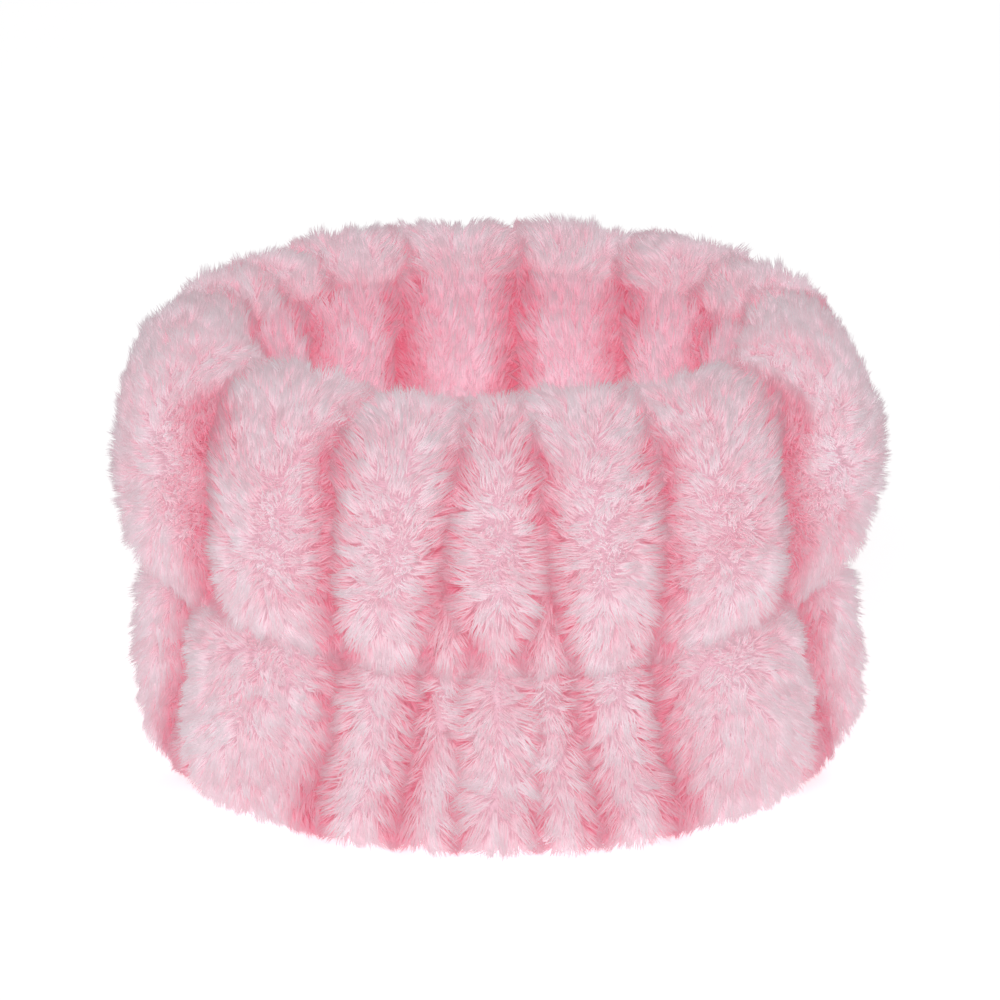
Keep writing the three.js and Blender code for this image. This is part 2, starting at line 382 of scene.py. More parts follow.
@dataclass(frozen=True)
class ElasticFinish:
    """Woven elastic: fine ribs round the ring, crossed by the weft, with painted shade in the valleys
    between the ribs.
    """

    name: str
    rib: Colour
    valley_shade: Colour
    rib_spacing: float = 0.8 * MM
    rib_share: float = 0.7
    wefts_round: int = 420

    def material(self) -> bpy.types.Material:
        """Builds the material from the height and the azimuth of Object coordinates.

        Returns:
            The material.
        """
        material, tree = new_material(self.name)
        place = tree.signal("ShaderNodeTexCoord", {}, {}, "Object")
        x, y, z = place.parts()
        azimuth = x.combine("ARCTAN2", y, x)
        ribs = (z * (2 * math.pi / self.rib_spacing)).sine()
        weft = (azimuth * self.wefts_round).sine()
        relief = ribs * self.rib_share + weft * (1 - self.rib_share)
        bump = {"Height": relief, "Strength": 0.6, "Distance": 0.12 * MM}
        finish_surface(
            tree,
            {
                # Painted shade: the colour darkens with the relief into the valleys between the ribs.
                "Base Color": tree.mix(relief * 0.5 + 0.5, self.valley_shade, self.rib),
                "Roughness": 0.75,
                "Normal": tree.signal("ShaderNodeBump", {}, bump),
            },
        )
        return material


@dataclass(frozen=True)
class ThreadFinish:
    """Sewing thread: plies that wind round it as slanting light and dark bands."""

    name: str
    ply: Colour
    shade: Colour
    twist: float = 0.5 * MM
    slant: float = 1.6

    def material(self) -> bpy.types.Material:
        """Builds the material from Object coordinates, so that it needs no map.

        Returns:
            The material.
        """
        material, tree = new_material(self.name)
        place = tree.signal("ShaderNodeTexCoord", {}, {}, "Object")
        x, y, z = (place * (2 * math.pi / self.twist)).parts()
        plies = (x + y + z * self.slant).sine() * 0.5 + 0.5
        bump = {"Height": plies, "Strength": 0.7, "Distance": 0.08 * MM}
        finish_surface(
            tree,
            {
                "Base Color": tree.mix(plies, self.shade, self.ply),
                "Roughness": 0.55,
                "Sheen Weight": 0.2,
                "Normal": tree.signal("ShaderNodeBump", {}, bump),
            },
        )
        return material


@dataclass(frozen=True)
class PaperFinish:
    """The plain pale sheet that the band stands on."""

    name: str
    colour: Colour
    glow: float = 0.6

    def material(self) -> bpy.types.Material:
        """Builds the material, lit a little from behind as a light table is.

        Returns:
            The material.
        """
        material, tree = new_material(self.name)
        finish_surface(
            tree,
            {
                "Base Color": self.colour,
                "Roughness": 0.9,
                "Specular IOR Level": 0.1,
                "Emission Color": self.colour,
                "Emission Strength": self.glow,
            },
        )
        return material


# ---- The pile's geometry nodes ----


class PileInput(Enum):
    """The pile tree's inputs: name and socket type."""

    SCALP = ("Scalp", "NodeSocketGeometry")
    STRAND = ("Strand", "NodeSocketObject")
    FINISH = ("Finish", "NodeSocketMaterial")
    STRANDS = ("Strands per Square Metre", "NodeSocketFloat")
    LOCKS = ("Locks per Square Metre", "NodeSocketFloat")
    LENGTH = ("Length", "NodeSocketFloat")
    RADIUS = ("Radius", "NodeSocketFloat")
    UPRIGHT = ("Upright", "NodeSocketFloat")
    GATHER = ("Gather", "NodeSocketFloat")
    STRAY = ("Stray", "NodeSocketFloat")
    SEED = ("Seed", "NodeSocketInt")


class Groomed(Enum):
    """What each point of a scalp says about the pile that stands on it."""

    STAND = "stand"
    COMB = "comb"
    REACH = "reach"
    COVER = "cover"
    # How pale the pile is: lower where painted shade deepens the pink, near the creases and under the
    # waist.
    FROST = "frost"


class Draw(Enum):
    """The seeds of the pile's random draws; a lean's length takes the seed after its own."""

    LOCK = 11
    LOCK_TINT = 12
    STRAND = 21
    GATHER = 23
    TINT = 24
    TURN = 25
    THICKNESS = 26
    CURL = 27


@dataclass
class PileTree:
    """The geometry nodes that stand curved strands on a scalp, in locks that meet at their tips."""

    name: str = "pile"
    lock_stray: float = 2.0
    curl: float = 0.9 * MM
    bend_at: float = 0.28
    bend_rise: float = 0.42
    lengths: Pair = (0.8, 1.15)
    gathers: Pair = (0.75, 1.15)
    thicknesses: Pair = (0.75, 1.2)
    tint_of_lock: float = 0.25
    tint_of_strand: float = 0.1
    cell_margin: float = 0.08
    floor_clearance: float = 0.35 * MM
    tree: Tree | None = None
    inputs: dict[PileInput, Signal] = field(default_factory=dict)

    def build(self) -> bpy.types.NodeTree:
        """Builds the tree.

        Returns:
            A geometry node group whose inputs are those of PileInput.
        """
        group = bpy.data.node_groups.new(self.name, "GeometryNodeTree")
        group.is_modifier = True
        for entry in PileInput:
            label, kind = entry.value
            group.interface.new_socket(name=label, in_out="INPUT", socket_type=kind)
        group.interface.new_socket(name="Pile", in_out="OUTPUT", socket_type="NodeSocketGeometry")
        self.tree = Tree(group)
        given = self.tree.node("NodeGroupInput", {}, {})
        self.inputs = {entry: Signal(self.tree, given.outputs[entry.value[0]]) for entry in PileInput}
        strands = self.scatter(PileInput.STRANDS, 0)
        locks = self.scatter(PileInput.LOCKS, 1)
        lock_tip = self.tip(Draw.LOCK, self.inputs[PileInput.STRAY] * self.lock_stray)
        locks = self.store(locks, "lock_tip", "FLOAT_VECTOR", lock_tip)
        locks = self.store(locks, "lock_tint", "FLOAT", self.chance(0.0, 1.0, Draw.LOCK_TINT.value))
        pile = self.grow(self.aim(strands, locks))
        self.tree.node("NodeGroupOutput", {}, {0: pile})
        return group

    def scatter(self, density: PileInput, seed: int) -> Signal:
        """Scatters points over the scalp, fewer where it is hidden.

        Args:
            density: The input that says how many there are.
            seed: What is added to the seed, so that two scatters differ.

        Returns:
            The points.
        """
        inputs = {
            "Mesh": self.inputs[PileInput.SCALP],
            "Density": self.inputs[density] * self.number(Groomed.COVER.value),
            "Seed": self.inputs[PileInput.SEED] + seed,
        }
        return self.tree.signal("GeometryNodeDistributePointsOnFaces", {}, inputs)

    def reach(self) -> Signal:
        """Gives the groomed length of the strands at a point."""
        return self.number(Groomed.REACH.value) * self.inputs[PileInput.LENGTH]

    def tip(self, draw: Draw, stray: Signal) -> Signal:
        """Works out where a point's own strand would end, if it were alone."""
        share = self.chance(*self.lengths, draw.value + 1)
        return self.position() + self.lean(draw, stray) * (self.reach() * share)

    def lean(self, draw: Draw, stray: Signal) -> Signal:
        """Gives the direction of a strand from the scalp's normal, its comb and its own stray."""
        upright = self.vector(Groomed.STAND.value) * self.inputs[PileInput.UPRIGHT]
        return (upright + self.vector(Groomed.COMB.value) + self.scatter_of(1.0, draw) * stray).unit()

    def aim(self, strands: Signal, locks: Signal) -> Signal:
        """Draws each strand's tip to its nearest lock's and keeps the curve on the points.

        Args:
            strands: The strands' points.
            locks: The locks' points, with their tips.

        Returns:
            The strands' points with their root, bend, tip, turn, thickness and tint.
        """
        nearest = self.tree.signal("GeometryNodeSampleNearest", {}, {"Geometry": locks})
        own_tip = self.tip(Draw.STRAND, self.inputs[PileInput.STRAY])
        lock_tip = self.sample(locks, "lock_tip", "FLOAT_VECTOR", nearest)
        lock_tint = self.sample(locks, "lock_tint", "FLOAT", nearest)
        gather = self.inputs[PileInput.GATHER] * self.chance(*self.gathers, Draw.GATHER.value)
        root = self.position()
        tip = self.above_floor(own_tip.towards(lock_tip, gather))
        halfway = root.towards(tip, self.bend_at) + self.scatter_of(self.curl, Draw.CURL)
        rise = self.vector(Groomed.STAND.value) * (self.reach() * self.bend_rise)
        # The tint carries the scalp's painted shade, with random tints of lock and strand.
        own_share = 1.0 - self.tint_of_lock - self.tint_of_strand
        tint = self.number(Groomed.FROST.value) * own_share + lock_tint * self.tint_of_lock
        radius = self.inputs[PileInput.RADIUS]
        kept = {
            "root": ("FLOAT_VECTOR", root),
            "bend": ("FLOAT_VECTOR", self.above_floor(halfway + rise)),
            "tip": ("FLOAT_VECTOR", tip),
            "turn": ("FLOAT_VECTOR", self.scatter_of(1.0, Draw.TURN)),
            "thick": ("FLOAT", radius * self.chance(*self.thicknesses, Draw.THICKNESS.value)),
            "tint": ("FLOAT", tint + self.chance(0.0, self.tint_of_strand, Draw.TINT.value)),
        }
        for name, (kind, value) in kept.items():
            strands = self.store(strands, name, kind, value)
        return strands

    def grow(self, strands: Signal) -> Signal:
        """Puts a straight strand on each point and bends it along the point's curve.

        Args:
            strands: The strands' points with what aim() keeps on them.

        Returns:
            The finished pile as one mesh.
        """
        tree = self.tree
        inputs = {"Object": self.inputs[PileInput.STRAND]}
        model = tree.signal("GeometryNodeObjectInfo", {}, inputs, "Geometry")
        stood = tree.signal("GeometryNodeInstanceOnPoints", {}, {"Points": strands, "Instance": model})
        mesh = tree.signal("GeometryNodeRealizeInstances", {}, {"Geometry": stood})
        root, bend, tip, turn = (self.vector(name) for name in ("root", "bend", "tip", "turn"))
        across, back, along = (self.position() - root).parts()
        first = bend - root
        second = tip - bend
        on_curve = root + first * (along * (2.0 - along)) + second * (along * along)
        heading = first.towards(second, along).unit()
        side = heading.cross(turn).unit()
        over = heading.cross(side)
        radius = self.number("thick")
        skin = on_curve + side * (across * radius) + over * (back * radius)
        mesh = tree.signal("GeometryNodeSetPosition", {}, {"Geometry": mesh, "Position": skin})
        inputs = {"Geometry": self.map_strands(mesh), "Material": self.inputs[PileInput.FINISH]}
        return tree.signal("GeometryNodeSetMaterial", {}, inputs)

    def map_strands(self, mesh: Signal) -> Signal:
        """Moves each strand's map into the column of its tint, in both maps.

        Args:
            mesh: The strands, each with its map from 0 to 1.

        Returns:
            The same mesh, with both maps.
        """
        around, along, _ = self.vector(STRAND_MAP).parts()
        column = (self.number("tint") * TINTS).floor().at_least(0.0).at_most(TINTS - 1.0)
        across = (column + self.cell_margin + around * (1 - 2 * self.cell_margin)) / TINTS
        place = self.tree.signal("ShaderNodeCombineXYZ", {}, {0: across, 1: along})
        for name in (BAKE_MAP, STRAND_MAP):
            mesh = self.store(mesh, name, "FLOAT2", place, "CORNER")
        return mesh

    def above_floor(self, point: Signal) -> Signal:
        """Keeps a point clear of the floor, where the band's own weight presses the pile flat.

        Args:
            point: A place in metres.

        Returns:
            The place, raised where it was too low.
        """
        x, y, z = point.parts()
        inputs = {0: x, 1: y, 2: z.at_least(self.floor_clearance)}
        return self.tree.signal("ShaderNodeCombineXYZ", {}, inputs)

    def position(self) -> Signal:
        """Gives the position of a point."""
        return self.tree.signal("GeometryNodeInputPosition", {}, {})

    def number(self, name: str) -> Signal:
        """Reads a named attribute that holds a number."""
        return self.attribute(name, "FLOAT")

    def vector(self, name: str) -> Signal:
        """Reads a named attribute that holds a vector."""
        return self.attribute(name, "FLOAT_VECTOR")

    def attribute(self, name: str, kind: str) -> Signal:
        """Reads a named attribute of a kind."""
        return self.tree.signal("GeometryNodeInputNamedAttribute", {"data_type": kind}, {"Name": name})

    def store(
        self, geometry: Signal, name: str, kind: str, value: Signal, domain: str = "POINT"
    ) -> Signal:
        """Keeps a value on a geometry under a name and gives the geometry.

        Args:
            geometry: The geometry.
            name: The attribute's name.
            kind: Its data type.
            value: What is kept.
            domain: What it is kept on.

        Returns:
            The geometry with the attribute.
        """
        settings = {"data_type": kind, "domain": domain}
        inputs = {"Geometry": geometry, "Name": name, "Value": value}
        return self.tree.signal("GeometryNodeStoreNamedAttribute", settings, inputs)

    def sample(self, source: Signal, name: str, kind: str, index: Signal) -> Signal:
        """Reads a named attribute at one point of another geometry.

        Args:
            source: The other geometry.
            name: The attribute's name.
            kind: Its data type.
            index: The point's number.

        Returns:
            The value.
        """
        settings = {"data_type": kind, "domain": "POINT"}
        inputs = {"Geometry": source, "Value": self.attribute(name, kind), "Index": index}
        return self.tree.signal("GeometryNodeSampleIndex", settings, inputs)

    def chance(self, least: Term, most: Term, seed: int) -> Signal:
        """Gives a random number, or a random vector, of its own for each point.

        Args:
            least: The smallest value.
            most: The largest value.
            seed: The draw's seed.

        Returns:
            The value.
        """
        kind = "FLOAT_VECTOR" if isinstance(least, tuple) else "FLOAT"
        inputs = {"Min": least, "Max": most, "Seed": seed}
        return self.tree.signal("FunctionNodeRandomValue", {"data_type": kind}, inputs)

    def scatter_of(self, size: float, draw: Draw) -> Signal:
        """Gives a random vector whose parts lie between -size and size."""
        return self.chance((-size,) * 3, (size,) * 3, draw.value)


@dataclass(frozen=True)
class Strand:
    """One upright strand of unit length, a closed three-sided spindle that each instance copies."""

    sides: int = 3
    girth_at: float = 0.4

    def build(self) -> bpy.types.Object:
        """Builds the strand with its map: across it once round, and up it from root to tip.

        Returns:
            The strand, which is in no collection.
        """
        turns = [2 * math.pi * side / self.sides for side in range(self.sides)]
        girth = [(math.cos(turn), math.sin(turn), self.girth_at) for turn in turns]
        root, tip = self.sides, self.sides + 1
        faces, corners = [], []
        for side in range(self.sides):
            after = (side + 1) % self.sides
            left, right = side / self.sides, (side + 1) / self.sides
            middle = (left + right) / 2
            faces += [(root, after, side), (side, after, tip)]
            corners += [(middle, 0.0), (right, self.girth_at), (left, self.girth_at)]
            corners += [(left, self.girth_at), (right, self.girth_at), (middle, 1.0)]
        mesh = bpy.data.meshes.new("strand")
        mesh.from_pydata([*girth, (0.0, 0.0, 0.0), (0.0, 0.0, 1.0)], [], faces)
        mesh.shade_smooth()
        layer = mesh.uv_layers.new(name=STRAND_MAP)
        layer.uv.foreach_set("vector", np.array(corners, np.float32).ravel())
        return bpy.data.objects.new("strand", mesh)


# ---- The gathered shape ----


def smooth(value: Values, low: float, high: float) -> Values:
    """Rises smoothly from 0 at low to 1 at high."""
    share = np.clip((value - low) / (high - low), 0, 1)
    return share * share * (3 - 2 * share)


def rising(value: Values, least: float, low: float, high: float) -> Values:
    """Rises smoothly from least at low to 1 at high."""
    return least + (1 - least) * smooth(value, low, high)


@dataclass(frozen=True)
class Change:
    """An amount that comes in smoothly between two values of what it depends on."""

    amount: float
    low: float
    high: float

    def at(self, value: Values) -> Values:
        """Gives how much of the amount has come in."""
        return self.amount * smooth(value, self.low, self.high)


def unit(vectors: np.ndarray) -> np.ndarray:
    """Gives vectors at length 1."""
    return vectors / np.maximum(np.linalg.norm(vectors, axis=-1, keepdims=True), 1e-12)


def wander(points: np.ndarray, size: float, seed: float) -> np.ndarray:
    """Gives a smooth random vector at each point.

    Args:
        points: Places in metres, with x, y and z last.
        size: How far apart two unlike values are, in millimetres.
        seed: Sets one field apart from another.

    Returns:
        An array of the points' shape, with values from about -1 to 1.
    """
    flat = points.reshape(-1, 3) / (size * MM) + seed
    return np.array([noise.noise_vector(Vector(p)) for p in flat]).reshape(points.shape)


def quarter_ellipse(start: Pair, end: Pair, starts_level: bool, points: int = 40) -> np.ndarray:
    """Draws a quarter of an ellipse between a level and an upright point of a wall.

    Args:
        start: The first point's bulge and height, in millimetres.
        end: The last point's.
        starts_level: Whether the wall is level at the start, and so upright at the end.
        points: How many points are drawn, the last one left out.

    Returns:
        The points.
    """
    turn = np.linspace(0, math.pi / 2, points, endpoint=False)
    sine, cosine = np.sin(turn), np.cos(turn)
    if starts_level:
        bulge = start[0] + (end[0] - start[0]) * sine
        height = end[1] + (start[1] - end[1]) * cosine
    else:
        bulge = end[0] + (start[0] - end[0]) * cosine
        height = start[1] + (end[1] - start[1]) * sine
    return np.stack([bulge, height], axis=1)


@dataclass(frozen=True)
class Crease:
    """A gathering crease, by its azimuth at the bottom, middle and top of its tier."""

    bottom: float
    middle: float
    top: float
    breadth: float = 1.0

    def azimuth(self, share: np.ndarray) -> np.ndarray:
        """Follows the smooth curve through the three azimuths.

        Args:
            share: The height as a share of the tier's.

        Returns:
            The crease's azimuth there.
        """
        rest = 1 - share
        low = self.bottom * rest * (rest - share)
        return low + self.middle * 4 * share * rest + self.top * share * (share - rest)


@dataclass(frozen=True)
class Tier:
    """One row of puffs between its creases."""

    creases: tuple[Crease, ...]
    full_bulge: float
    depth: float
    puff_angle: float = 13.0
    roundness: float = 0.48

    def puffs(self, azimuth: np.ndarray, share: float) -> tuple[np.ndarray, np.ndarray, np.ndarray]:
        """Says where azimuths lie on the puffs at one height.

        Args:
            azimuth: Azimuths in degrees.
            share: The height as a share of the tier's.

        Returns:
            Each one's fullness, its place across its puff from -1 to 1, and its angle from
            the nearer crease.
        """
        share = float(np.clip(share, 0, 1))
        lines = sorted((crease.azimuth(share), crease.breadth) for crease in self.creases)
        breadths = np.array([breadth for _, breadth in lines + lines[:1]])
        lines = np.array([line for line, _ in lines] + [lines[0][0] + 360])
        turned = lines[0] + (azimuth - lines[0]) % 360
        after = np.clip(np.searchsorted(lines, turned, side="right"), 1, len(lines) - 1)
        width = lines[after] - lines[after - 1]
        across = np.clip((turned - lines[after - 1]) / width, 0, 1)
        breadth = np.where(across < 0.5, breadths[after - 1], breadths[after])
        crown = (4 * across * (1 - across)) ** (self.roundness * breadth)
        aside = np.minimum(across / breadths[after - 1], (1 - across) / breadths[after]) * width
        return (1 - np.exp(-width / self.puff_angle)) * crown, 2 * across - 1, aside


def mirrored(*creases: Crease) -> tuple[Crease, ...]:
    """Gives the creases and their mirror images on the other side of the front."""
    return creases + tuple(Crease(-c.bottom, -c.middle, -c.top, c.breadth) for c in creases)


def straight(*azimuths: float) -> tuple[Crease, ...]:
    """Gives creases that run straight up."""
    return tuple(Crease(azimuth, azimuth, azimuth) for azimuth in azimuths)


UPPER_CREASES = mirrored(
    Crease(3.2, 7.8, 2.6, 0.8),
    Crease(12.5, 8.9, 3.6, 0.7),
    Crease(27.5, 27.0, 24.5),
    Crease(56.0, 54.5, 51.0, 1.7),
    Crease(106.0, 104.0, 102.0, 1.3),
) + straight(126, 149, 175.5, -159, -137, -121)
LOWER_CREASES = mirrored(
    Crease(6.6, 6.0, 4.8, 0.45),
    Crease(17.0, 15.0, 13.0, 0.8),
    Crease(31.0, 28.6, 27.0),
    Crease(65.0, 68.0, 68.0, 1.6),
    Crease(101.0, 103.0, 104.0, 1.3),
) + straight(123, 147, 175.5, -161, -141, -122)
SKIN_CREASES = straight(*(175.5 - 30 * puff for puff in range(12)))


@dataclass
class Wall:
    """The ring's own measures, read from the frame, in millimetres."""

    half_width: float = 0.0
    height: float = 0.0
    waist: float = 0.0
    depth_per_width: float = 0.965
    core_share: float = 0.75
    foot_seam_rise: float = 4.5
    rim_seam_drop: float = 5.5
    rim_roll_drop: float = 8.3

    def measure(self) -> "Wall":
        """Reads the width, the height and the waist's height from the CAD nodes.

        Returns:
            The wall itself.
        """
        low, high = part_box("outer_fleece_panel")
        self.half_width = (high.x - low.x) / 2 / MM
        self.height = high.z / MM
        thread_low, thread_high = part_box("gathering_needle_thread")
        self.waist = (thread_low.z + thread_high.z) / 2 / MM
        return self

    @property
    def core_radius(self) -> float:
        """Gives the radius of the middle of the wall's thickness."""
        return self.half_width * self.core_share

    def place(self, azimuth: np.ndarray, bulge: np.ndarray, height: np.ndarray) -> np.ndarray:
        """Turns azimuth, bulge and height into points in metres.

        Args:
            azimuth: Azimuths in degrees.
            bulge: Distances out from the core of the wall.
            height: Heights.

        Returns:
            The points, with x, y and z last.
        """
        angle = np.radians(azimuth)
        radius = self.core_radius + bulge
        depth = -radius * np.cos(angle) * self.depth_per_width
        return np.stack([radius * np.sin(angle), depth, height], axis=-1) * MM

    def drawn_in(self, bulge: np.ndarray, height: np.ndarray, draw: np.ndarray) -> tuple:
        """Moves points of a panel by draw towards the core of the wall.

        Args:
            bulge: Distances out from the core of the wall.
            height: Heights.
            draw: How far each point moves.

        Returns:
            The new bulges and heights.
        """
        core = np.clip(height, 2 * self.foot_seam_rise, self.height - 3 * self.rim_seam_drop)
        inwards = unit(np.stack([-bulge, core - height], axis=-1))
        return bulge + inwards[..., 0] * draw, height + inwards[..., 1] * draw


@dataclass
class Grid:
    """A scalp as rows round the ring, with what the pile's grooming needs at each point."""

    points: np.ndarray
    azimuth: np.ndarray
    height: np.ndarray
    across: np.ndarray
    from_crease: np.ndarray
    from_seam: np.ndarray

    def normals(self) -> np.ndarray:
        """Gives outward normals, from the rows and the columns of the closed ring.

        Returns:
            The normals, at length 1.
        """
        wrapped = np.concatenate([self.points[:, -2:], self.points, self.points[:, :2]], axis=1)
        round_ring = np.gradient(wrapped, axis=1)[:, 2:-2]
        down = np.gradient(self.points, axis=0)
        return unit(np.cross(down, round_ring))


@dataclass(frozen=True)
class Grooming:
    """How the pile changes over the cloth; places, widths and sizes are in millimetres."""

    coarse_swirl: Pair = (9.0, 0.3)
    fine_swirl: Pair = (3.0, 0.35)
    patch_size: float = 8.0
    tuft_size: float = 2.5
    swirl_seeds: tuple[int, int] = (20, 40)
    patch_seed: int = 60
    tuft_seed: int = 80
    from_waist: Pair = (1.0, 5.0)
    from_crease: Pair = (0.6, 3.6)
    above_floor: Pair = (0.5, 6.0)
    below_waist: Pair = (-1.0, 1.0)
    at_rim: Pair = (56.0, 62.0)
    closes_at_rim: Change = Change(0.9, 48.0, 61.0)
    closes_at_waist: float = 0.8
    opens_above_floor: Pair = (2.0, 10.0)
    crease_shortens: float = 0.6
    patches_lengthen: float = 0.12
    under_shortens: float = 0.35
    floor_shortens: float = 0.45
    tufts_lengthen: float = 0.3
    crease_thins: float = 0.6
    waist_thickens: float = 0.5
    seam_bares: Pair = (0.3, 1.0)
    floor_thins: tuple[float, float, float] = (0.35, 1.5, 4.0)
    # Painted shade in the pile's paleness: it fades away from the creases, more on ridges and towards
    # the rim, and falls under the upper tier at the waist.
    ridge_spreads: float = 3.2
    rim_spreads: Change = Change(5.0, 56.0, 62.0)
    crease_shade_fades: Change = Change(0.94, 2.7, 8.3)
    patches_frost: float = 0.14
    waist_shade: float = 0.15
    seam_dulls: tuple[float, float, float] = (0.8, 1.0, 8.0)

    def groom(
        self, grid: Grid, comb: np.ndarray, waist: float, seed: int
    ) -> dict[Groomed, np.ndarray]:
        """Works out how the pile stands at every point of the scalp.

        Args:
            grid: The scalp.
            comb: Which way each point's pile is combed.
            waist: The height of the gathering row.
            seed: The strip's seed.

        Returns:
            The values by name, as rows of the grid.
        """
        patches = wander(grid.points, self.patch_size, seed + self.patch_seed)
        tufts = wander(grid.points, self.tuft_size, seed + self.tuft_seed)[..., 2]
        near_waist = 1 - smooth(np.abs(grid.height - waist), *self.from_waist)
        open_crease = 1 - self.closes_at_rim.at(grid.height)
        open_crease = open_crease * (1 - self.closes_at_waist * near_waist)
        open_crease = open_crease * smooth(grid.height, *self.opens_above_floor)
        in_crease = (1 - smooth(grid.from_crease, *self.from_crease)) * open_crease
        on_floor = 1 - smooth(grid.height, *self.above_floor)
        under = smooth(waist - grid.height, *self.below_waist) * near_waist
        reach = 1 - self.crease_shortens * in_crease + self.patches_lengthen * patches[..., 0]
        reach = reach - self.under_shortens * under - self.floor_shortens * on_floor
        reach = reach + self.tufts_lengthen * (tufts * smooth(grid.height, *self.at_rim))
        cover = 1 - self.crease_thins * in_crease + self.waist_thickens * near_waist
        cover = cover * smooth(grid.from_seam, *self.seam_bares)
        cover = cover * rising(grid.height, *self.floor_thins)
        # The paleness carries painted shade: deep pink in and beside the creases and under the upper
        # tier at the waist, less on the ridges and towards the rim. It also has random pale patches
        # and is deeper pink near the seams.
        spread = grid.from_crease + self.ridge_spreads * (1 - np.abs(grid.across))
        spread = spread + self.rim_spreads.at(grid.height)
        frost = self.crease_shade_fades.at(spread) + self.patches_frost * patches[..., 1]
        frost = (frost - self.waist_shade * under) * rising(grid.from_seam, *self.seam_dulls)
        return {
            Groomed.STAND: grid.normals(),
            Groomed.COMB: comb + self.swirl(grid, seed),
            Groomed.REACH: reach,
            Groomed.COVER: cover,
            Groomed.FROST: np.clip(frost, 0, 1),
        }

    def swirl(self, grid: Grid, seed: int) -> np.ndarray:
        """Gives the coarse and fine turns of the pile, flat on the cloth.

        Args:
            grid: The scalp.
            seed: The strip's seed.

        Returns:
            A vector for each point.
        """
        normal = grid.normals()
        turns = np.zeros_like(grid.points)
        for (size, strength), own in zip((self.coarse_swirl, self.fine_swirl), self.swirl_seeds):
            turns = turns + wander(grid.points, size, seed + own) * strength
        return turns - normal * (turns * normal).sum(-1, keepdims=True)


